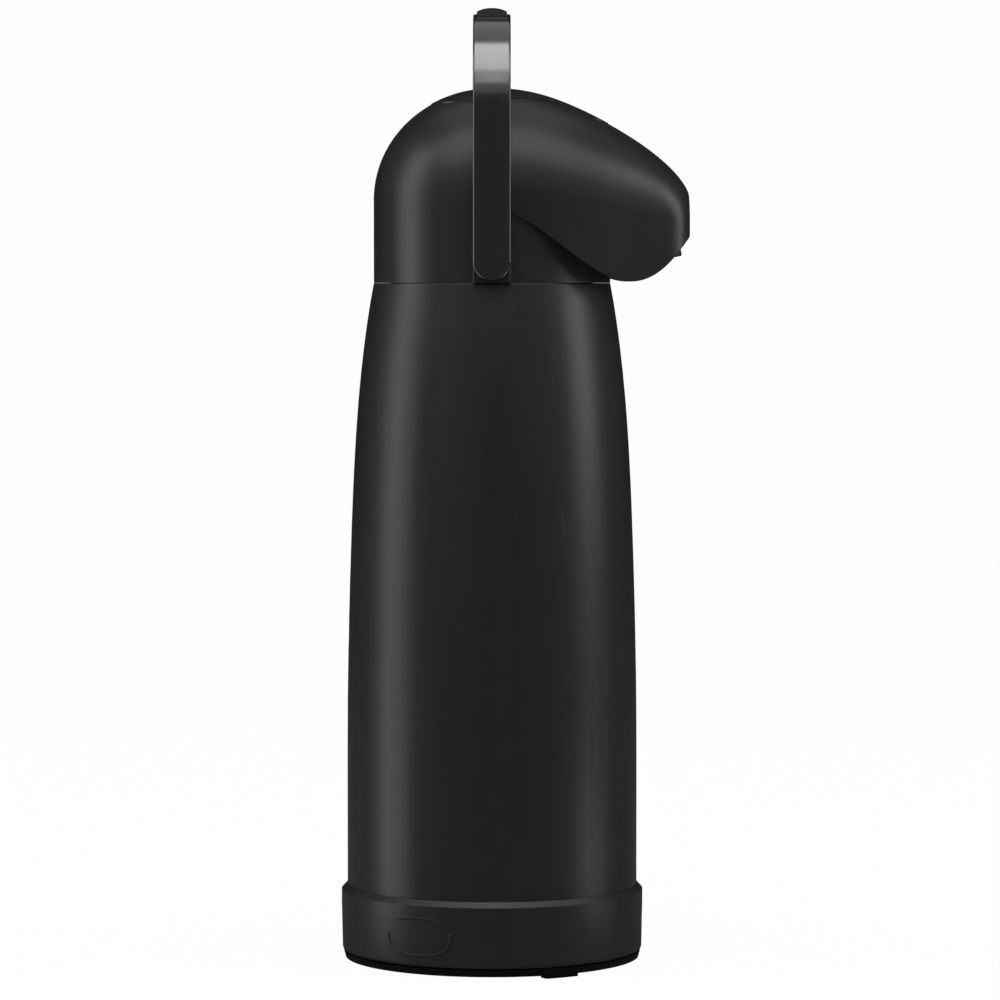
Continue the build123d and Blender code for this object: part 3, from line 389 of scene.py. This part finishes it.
gripLook = dict(bailLook, roughness=0.30, coat=0.4, dark="1d1d1e", pale="252526")
nozzleLook = dict(shellLook, dark="040404", pale="070707", roughness=0.45)
naturalLook = {
    "dark": "cfccc2", "pale": "dad8d0", "scuffed": "bdb9ad", "roughness": 0.42, "spread": 0.05,
    "grainMm": 0.8, "grainStrength": 0.20, "peelMm": 8.0, "peelStrength": 0.06,
    "flowMm": 12.0, "scuffMm": 12.0, "patchMm": 25.0,
}
waxyLook = dict(naturalLook, dark="dcdad2", pale="e6e5df", roughness=0.33)
milkyLook = dict(naturalLook, dark="d6d8d8", pale="e2e4e4", roughness=0.28)

shellPlastic = mouldedPlastic("mouldedBlackPolypropylene", shellLook)
headPlastic = mouldedPlastic("mouldedBlackAbsHead", headLook)
keyPlastic = mouldedPlastic("mouldedBlackAbsKey", keyLook)
cupPlastic = mouldedPlastic("satinBlackPolypropylene", cupLook)
swivelDiscShadePlastic = mouldedPlastic("mattBlackPolypropyleneWithPaintedShade", swivelDiscShadeLook)
bailPlastic = mouldedPlastic("glossBlackNylonStrap", bailLook)
gripPlastic = mouldedPlastic("satinBlackNylonPad", gripLook)
nozzlePlastic = mouldedPlastic("deepBlackAcetal", nozzleLook)
naturalPlastic = mouldedPlastic("naturalPolypropylene", naturalLook)
waxyPlastic = mouldedPlastic("waxyAcetalGlide", waxyLook)
milkyPlastic = mouldedPlastic("milkyPolyethyleneTube", milkyLook)


def softRubber(name, look):
    # cured rubber: matt with a fine talc bloom in patches
    material = emptyMaterial(name)
    plain = objectPattern(material)
    bloom = addNode(
        material, "ShaderNodeTexNoise", [("Vector", plain, 0)],
        Scale=perMetre(look["bloomMm"]), Detail=4.0, Roughness=0.6,
    )
    pores = addNode(
        material, "ShaderNodeTexNoise", [("Vector", plain, 0)],
        Scale=perMetre(look["poreMm"]), Detail=2.0,
    )
    colour = twoTone(material, bloom, 0, look["dark"], look["pale"])
    swing = rubber["glossSwing"]
    gloss = spread(
        material, bloom, 0, look["roughness"] - swing, look["roughness"] + swing, *midRange
    )
    bump = addNode(
        material, "ShaderNodeBump", [("Height", pores, 0)],
        Strength=rubber["poreStrength"], Distance=rubber["poreDepth"],
    )
    shader = addNode(
        material, "ShaderNodeBsdfPrincipled",
        [("Base Color", colour, 2), ("Roughness", gloss, 0), ("Normal", bump, 0)],
        IOR=look["ior"],
    )
    shader.inputs["Subsurface Weight"].default_value = look["through"]
    shader.inputs["Subsurface Scale"].default_value = rubber["throughDepth"]
    addNode(material, "ShaderNodeOutputMaterial", [("Surface", shader, 0)])
    return material


padRubber = softRubber("blackRubberPads", {
    "dark": "0a0a0a", "pale": "161616", "roughness": 0.72, "ior": 1.52,
    "bloomMm": 5.0, "poreMm": 0.5, "through": 0.0,
})
sealSilicone = softRubber("greySiliconeSeal", {
    "dark": "8f8d88", "pale": "a3a19c", "roughness": 0.55, "ior": 1.42,
    "bloomMm": 7.0, "poreMm": 0.6, "through": 0.1,
})
hoseSilicone = softRubber("milkySiliconeHose", {
    "dark": "b9b7b0", "pale": "cbc9c3", "roughness": 0.45, "ior": 1.42,
    "bloomMm": 6.0, "poreMm": 0.7, "through": 0.2,
})
spacerFelt = softRubber("pressedSpacerPads", {
    "dark": "6b655c", "pale": "8a8478", "roughness": 0.9, "ior": 1.45,
    "bloomMm": 2.0, "poreMm": 0.4, "through": 0.0,
})


def metalSkin(name, look):
    # drawn steel or silvered glass: faint lines or mottling in the gloss
    material = emptyMaterial(name)
    lines = objectPattern(material, look["stretch"])
    marks = addNode(
        material, "ShaderNodeTexNoise", [("Vector", lines, 0)],
        Scale=perMetre(look["markMm"]), Detail=3.0, Roughness=0.6,
    )
    colour = twoTone(material, marks, 0, look["dark"], look["pale"])
    gloss = spread(material, marks, 0, look["smooth"], look["rough"], *midRange)
    bump = addNode(
        material, "ShaderNodeBump", [("Height", marks, 0)],
        Strength=look["bump"], Distance=metalMarkDepth,
    )
    shader = addNode(
        material, "ShaderNodeBsdfPrincipled",
        [("Base Color", colour, 2), ("Roughness", gloss, 0), ("Normal", bump, 0)],
        Metallic=1.0,
    )
    addNode(material, "ShaderNodeOutputMaterial", [("Surface", shader, 0)])
    return material


stainlessSteel = metalSkin("brightStainlessSteel", {
    "dark": "b4b4b2", "pale": "c6c6c4", "smooth": 0.18, "rough": 0.32, "bump": 0.2,
    "markMm": 1.2, "stretch": (1, 1, 0.1),
})
silveredGlass = metalSkin("silveredBorosilicateGlass", {
    "dark": "d2d3d6", "pale": "e4e5e8", "smooth": 0.03, "rough": 0.08, "bump": 0.1,
    "markMm": 30.0, "stretch": (1, 1, 0.4),
})

nodeFinish = {
    shellPlastic: ("body_shell",),
    cupPlastic: ("base_cup",),
    swivelDiscShadePlastic: ("swivel_disc",),
    padRubber: ("foot_pads", "flask_cushion"),
    headPlastic: ("head_shell",),
    keyPlastic: ("pump_key",),
    bailPlastic: ("bail_handle", "bail_pins"),
    gripPlastic: ("bail_grip",),
    nozzlePlastic: ("nozzle",),
    naturalPlastic: (
        "mouth_ring", "head_base", "stopper", "tube_socket", "pump_frame", "push_plate",
    ),
    waxyPlastic: ("swivel_washer", "swivel_glide"),
    milkyPlastic: ("siphon_tube", "air_duct"),
    sealSilicone: ("neck_gasket", "stopper_gasket", "valve_flap"),
    hoseSilicone: ("outlet_hose", "bellows"),
    spacerFelt: ("flask_spacers",),
    stainlessSteel: ("swivel_screw", "head_screws", "check_ball", "key_pin", "return_spring"),
    silveredGlass: ("flask_outer_wall", "flask_inner_wall"),
}
for material, names in nodeFinish.items():
    for nodeName in names:
        wear(nodes[nodeName], material)
dressed = {n for names in nodeFinish.values() for n in names}
print("finishes on", len(dressed), "of", len(nodes), "nodes")


# blank oval rim on the ring round the foot: raised and soft-edged, bare inside
badge = {
    "azimuth": 28.9,        # degrees from the front towards the left
    "height": 0.0184,
    "width": 0.0318,
    "tall": 0.0172,
    "squareness": 2.5,      # 2 is an ellipse, more is nearer to a rectangle
    "rim": 0.0011,
    "proud": 0.00042,
    "sunk": 0.0003,
    "softEdge": 0.0002,
    "points": 96,
    "wallFrom": 0.063,      # the ring's outside wall lies further out than this
}


def ringLevels():
    # the foot ring's outside wall as height and radius, read from its own mesh
    levels = {}
    for vertex in nodes["base_cup"].data.vertices:
        reach = math.hypot(vertex.co.x, vertex.co.y)
        if reach > badge["wallFrom"]:
            level = round(vertex.co.z, 5)
            levels[level] = max(levels.get(level, 0), reach)
    return sorted(levels.items())


def wallRadius(levels, z):
    below = [level for level in levels if level[0] <= z][-1]
    above = [level for level in levels if level[0] > z][0]
    share = (z - below[0]) / (above[0] - below[0])
    return below[1] + share * (above[1] - below[1])


def addBadge():
    levels = ringLevels()
    clearSelection()
    bpy.ops.mesh.primitive_circle_add(vertices=badge["points"], radius=1, fill_type="NOTHING")
    rim = bpy.context.object
    rim.name = "foot_badge_rim"
    power = 2 / badge["squareness"]
    for vertex in rim.data.vertices:
        across = math.copysign(abs(vertex.co.x) ** power, vertex.co.x)
        upward = math.copysign(abs(vertex.co.y) ** power, vertex.co.y)
        vertex.co = (across * badge["width"] / 2, upward * badge["tall"] / 2, 0)
    bpy.ops.object.mode_set(mode="EDIT")
    bpy.ops.mesh.select_all(action="SELECT")
    bpy.ops.mesh.extrude_edges_move()
    inner = (1 - 2 * badge["rim"] / badge["width"], 1 - 2 * badge["rim"] / badge["tall"], 1)
    bpy.ops.transform.resize(value=inner)
    bpy.ops.object.mode_set(mode="OBJECT")
    turn = math.radians(badge["azimuth"])
    girth = wallRadius(levels, badge["height"])
    for vertex in rim.data.vertices:
        angle = turn - vertex.co.x / girth
        high = badge["height"] + vertex.co.y
        reach = wallRadius(levels, high) - badge["sunk"]
        vertex.co = (-reach * math.sin(angle), -reach * math.cos(angle), high)
    makeActive(rim)
    outward = Vector((-math.sin(turn), -math.cos(turn), 0))
    if rim.data.polygons[0].normal.dot(outward) < 0:
        rim.data.flip_normals()
    thicken = rim.modifiers.new("thicken", "SOLIDIFY")
    thicken.thickness = badge["sunk"] + badge["proud"]
    thicken.offset = 1.0
    bpy.ops.object.modifier_apply(modifier="thicken")
    soften = rim.modifiers.new("soften", "BEVEL")
    soften.width = badge["softEdge"]
    soften.segments = 2
    bpy.ops.object.modifier_apply(modifier="soften")
    bpy.ops.object.shade_smooth()
    wear(rim, cupPlastic)
    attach(rim, "pot")
    reaches = [math.hypot(v.co.x, v.co.y) * 1000 for v in rim.data.vertices]
    print("badge rim from", round(min(reaches), 2), "to", round(max(reaches), 2), "mm out")


addBadge()
